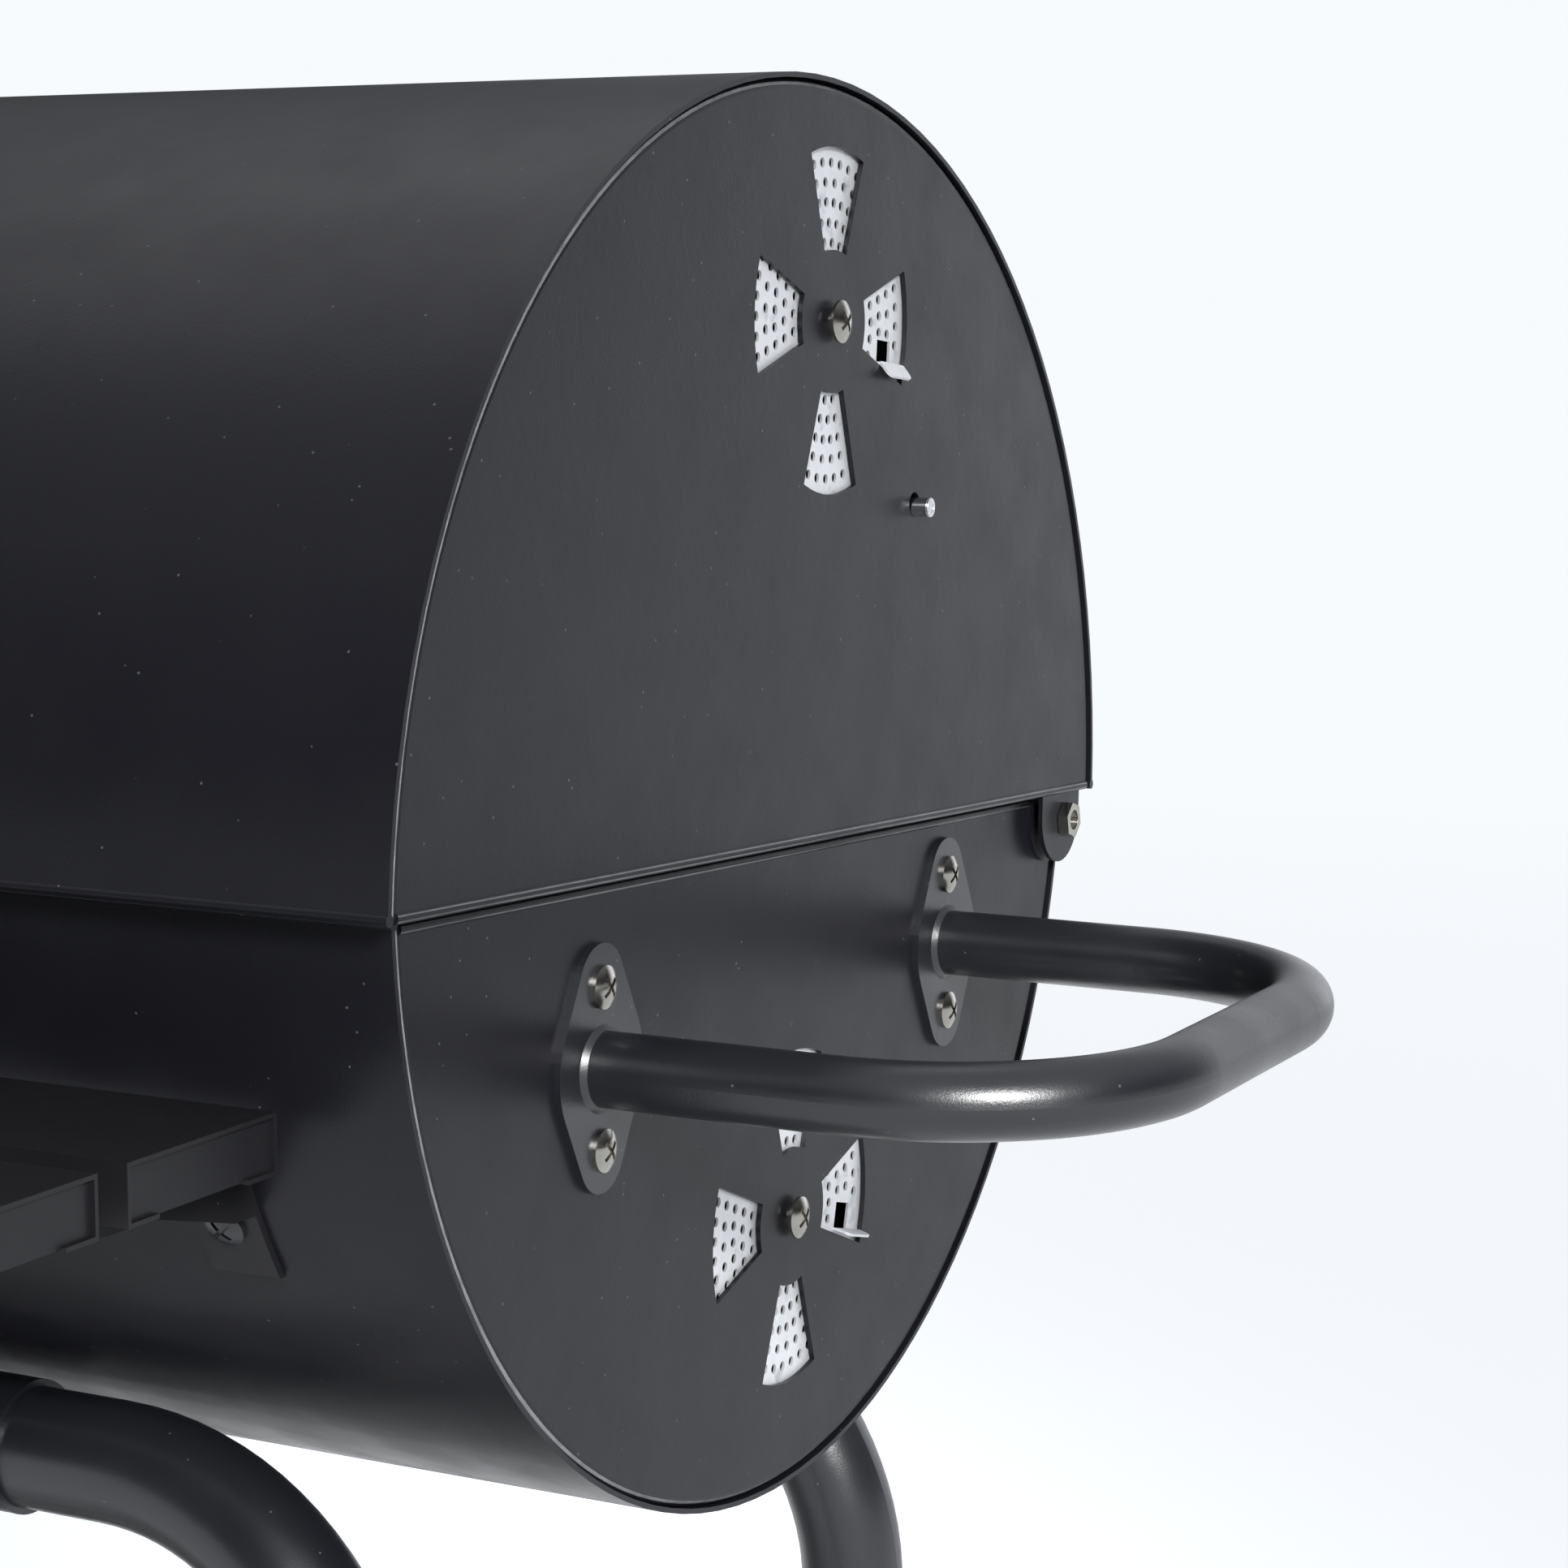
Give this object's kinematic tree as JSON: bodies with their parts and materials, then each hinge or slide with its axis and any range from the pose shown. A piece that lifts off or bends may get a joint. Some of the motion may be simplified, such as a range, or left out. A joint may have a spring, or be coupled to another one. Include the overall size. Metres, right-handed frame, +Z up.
{
  "type": "barrel charcoal grill",
  "caption": "Barrel charcoal grill: hinged half-barrel lid, bowl with end vents, side handle, slatted front shelf and wheeled tube legs.",
  "frame": {"origin": "on the floor, under the middle of the grill's own box", "axes": "+X along the barrel towards the side handle, +Y to the rear (the lid's hinge side), +Z up"},
  "size_m": [0.8974, 0.7102, 1.0749],
  "materials": {
    "barrel_paint": "satin powder coat, dark grey",
    "tube_paint": "semi-gloss powder coat, near black",
    "slat_paint": "satin powder coat, dark grey",
    "nickel": "nickel-plated fasteners",
    "zinc": "bright zinc-plated sheet",
    "plated_rod": "bright plated rod",
    "chrome_wire": "chrome-plated",
    "cast_grate": "enamelled black",
    "fire_grate": "dull heat-worn iron",
    "black_plastic": "moulded, fine grain",
    "tyre": "matt rubber",
    "pad_rubber": "matt rubber",
    "case_steel": "brushed",
    "dial_white": "printed dial, matt",
    "glass": "clear",
    "needle_red": "red paint"
  },
  "bodies": {
    "base": {"bowl_shell": "barrel_paint", "bowl_cap_right": "barrel_paint", "bowl_cap_left": "barrel_paint", "hinge_plate_right": "barrel_paint", "hinge_plate_left": "barrel_paint", "hinge_bolts": "nickel", "side_handle_tube": "tube_paint", "side_handle_flanges": "tube_paint", "side_handle_screws": "nickel", "vent_screws_bowl": "nickel", "shelf_slat_rear": "slat_paint", "shelf_slat_middle": "slat_paint", "shelf_slat_front": "slat_paint", "shelf_bracket_right": "slat_paint", "shelf_bracket_left": "slat_paint", "shelf_screws": "nickel", "leg_front_right": "tube_paint", "leg_front_left": "tube_paint", "leg_rear_right": "tube_paint", "leg_rear_left": "tube_paint", "sleeve_front": "tube_paint", "sleeve_rear": "tube_paint", "saddle_pads": "pad_rubber", "saddle_bolts": "nickel", "leg_brace_right": "tube_paint", "leg_brace_left": "tube_paint", "bottom_rack": "slat_paint", "axle": "plated_rod", "axle_caps": "black_plastic", "foot_caps": "black_plastic", "leg_plugs": "black_plastic", "lid_rests": "barrel_paint", "grate_ledges": "barrel_paint", "cooking_grate_right": "cast_grate", "cooking_grate_left": "cast_grate", "charcoal_grate": "fire_grate"},
    "lid": {"lid_shell": "barrel_paint", "lid_cap_right": "barrel_paint", "lid_cap_left": "barrel_paint", "lid_handle_tube": "tube_paint", "lid_handle_flanges": "tube_paint", "lid_handle_screws": "nickel", "vent_screws_lid": "nickel", "thermometer_case": "case_steel", "thermometer_dial": "dial_white", "thermometer_glass": "glass", "thermometer_probe": "plated_rod"},
    "warming_rack": {"rack_rod": "plated_rod", "rack_grid": "chrome_wire", "rack_hangers": "slat_paint"},
    "needle": {"thermometer_needle": "needle_red"},
    "lid_vent_right": {"vent_disc_lid_right": "zinc"},
    "lid_vent_left": {"vent_disc_lid_left": "zinc"},
    "bowl_vent_right": {"vent_disc_bowl_right": "zinc"},
    "bowl_vent_left": {"vent_disc_bowl_left": "zinc"},
    "wheel_front": {"wheel_hub_front": "black_plastic", "tyre_front": "tyre"},
    "wheel_rear": {"wheel_hub_rear": "black_plastic", "tyre_rear": "tyre"}
  },
  "joints": [
    {"name": "lid_hinge", "type": "hinge", "parent": "base", "child": "lid", "pos_m": [-0.0481, 0.26325, 0.841], "axis": [-1, 0, 0], "range_deg": [0, 95]},
    {"name": "rack_swing", "type": "hinge", "parent": "lid", "child": "warming_rack", "pos_m": [-0.0481, 0.13275, 0.9497], "axis": [-1, 0, 0], "range_deg": [-95, 0]},
    {"name": "needle_turn", "type": "hinge", "parent": "lid", "child": "needle", "pos_m": [-0.0481, -0.07579, 1.03931], "axis": [0, 0.5878, -0.809], "range_deg": [0, 250], "stiffness_Nm_per_rad": 0.0005},
    {"name": "lid_vent_right_turn", "type": "hinge", "parent": "lid", "child": "lid_vent_right", "pos_m": [0.2996, 0.07295, 1.0045], "axis": [1, 0, 0], "range_deg": [0, 32]},
    {"name": "lid_vent_left_turn", "type": "hinge", "parent": "lid", "child": "lid_vent_left", "pos_m": [-0.3958, 0.07295, 1.0045], "axis": [1, 0, 0], "range_deg": [0, 32]},
    {"name": "bowl_vent_right_turn", "type": "hinge", "parent": "base", "child": "bowl_vent_right", "pos_m": [0.2936, 0.07085, 0.7356], "axis": [1, 0, 0], "range_deg": [-1, 30]},
    {"name": "bowl_vent_left_turn", "type": "hinge", "parent": "base", "child": "bowl_vent_left", "pos_m": [-0.3898, 0.07085, 0.7356], "axis": [1, 0, 0], "range_deg": [-1, 30]},
    {"name": "wheel_front_spin", "type": "hinge", "parent": "base", "child": "wheel_front", "pos_m": [-0.3487, -0.20695, 0.1], "axis": [0, 1, 0], "continuous": true},
    {"name": "wheel_rear_spin", "type": "hinge", "parent": "base", "child": "wheel_rear", "pos_m": [-0.3487, 0.32705, 0.1], "axis": [0, 1, 0], "continuous": true}
  ],
  "couplings": [
    {"joint": "rack_swing", "follows": "lid_hinge", "ratio": -1}
  ]
}
